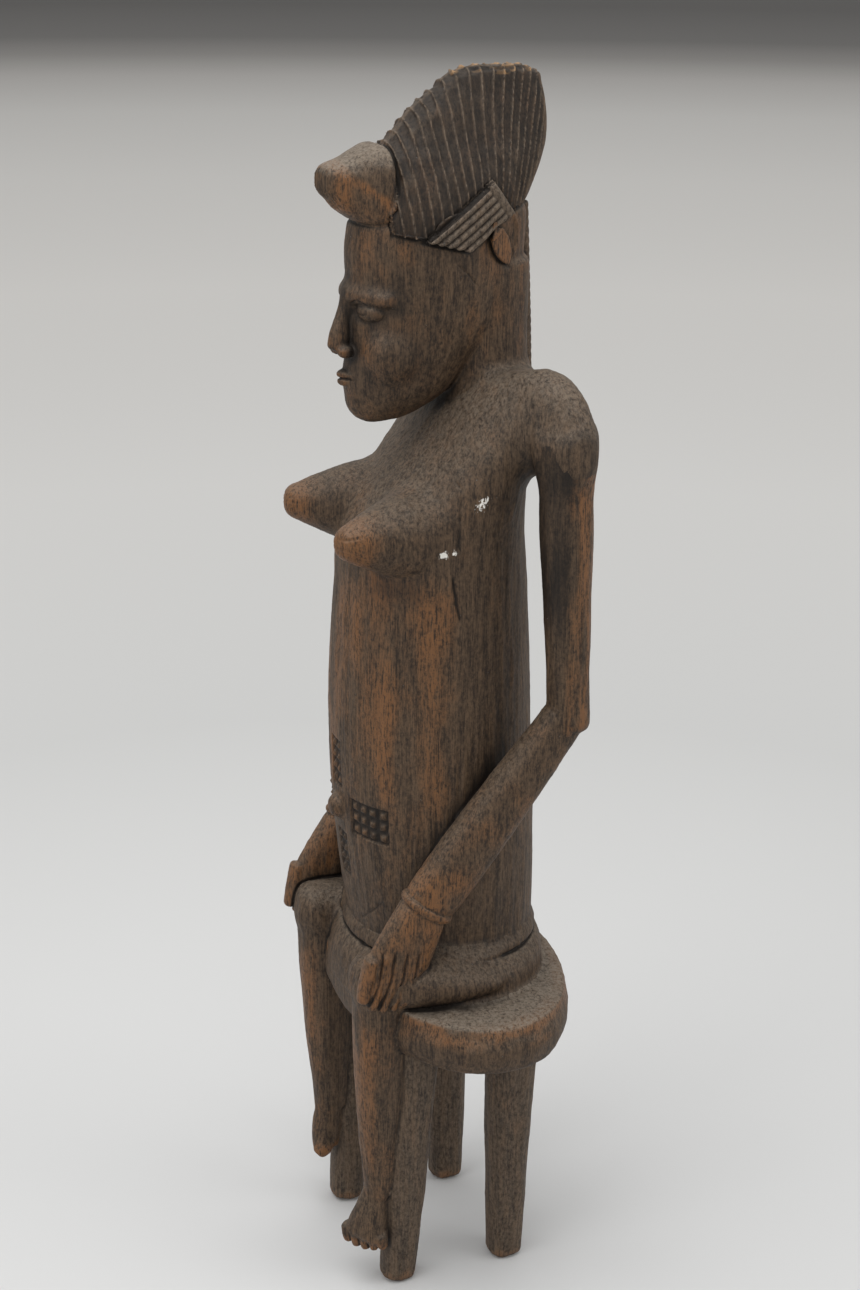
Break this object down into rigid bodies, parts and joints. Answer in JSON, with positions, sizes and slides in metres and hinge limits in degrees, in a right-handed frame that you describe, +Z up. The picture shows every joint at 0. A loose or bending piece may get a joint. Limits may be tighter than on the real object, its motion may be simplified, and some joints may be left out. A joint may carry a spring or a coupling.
{
  "type": "carved seated ancestor figure",
  "caption": "Seated wooden ancestor figure on a low oval stool, hands on knees, with a tall ribbed hair crest.",
  "frame": {"origin": "on the ground plane, under the middle of the object's bounding box, which is under the middle of the stool", "axes": "+Z up, the figure faces -Y, the figure's left side is +X"},
  "size_m": [0.192, 0.13, 0.62],
  "materials": {
    "dark_wood": "dark oiled patina, satin",
    "worn_wood": "handled patina worn to brown wood, satin",
    "dusty_wood": "dusty grey-brown patina, matt",
    "raw_wood": "worn through to orange-brown wood, matt"
  },
  "bodies": {
    "root": {"stool_seat": "dusty_wood", "stool_leg_front_left": "dark_wood", "stool_leg_front_right": "dark_wood", "stool_leg_rear_left": "dark_wood", "stool_leg_rear_right": "dark_wood", "hips": "dark_wood", "waist_belt": "dusty_wood", "belly": "worn_wood", "shoulders": "dusty_wood", "chest": "dusty_wood", "navel": "worn_wood", "breast_left": "worn_wood", "breast_right": "worn_wood", "upper_arm_left": "worn_wood", "upper_arm_right": "worn_wood", "forearm_left": "worn_wood", "forearm_right": "worn_wood", "bracelet_left": "raw_wood", "bracelet_right": "raw_wood", "hand_left": "worn_wood", "hand_right": "worn_wood", "thigh_left": "dark_wood", "thigh_right": "dark_wood", "lower_leg_left": "worn_wood", "lower_leg_right": "worn_wood", "foot_left": "raw_wood", "foot_right": "raw_wood", "neck": "dark_wood", "head": "worn_wood", "ear_left": "raw_wood", "ear_right": "raw_wood", "hair_crest": "dusty_wood", "hair_knob": "raw_wood", "hair_band_left": "dusty_wood", "hair_band_right": "dusty_wood", "nape_braid": "dark_wood"}
  },
  "joints": []
}
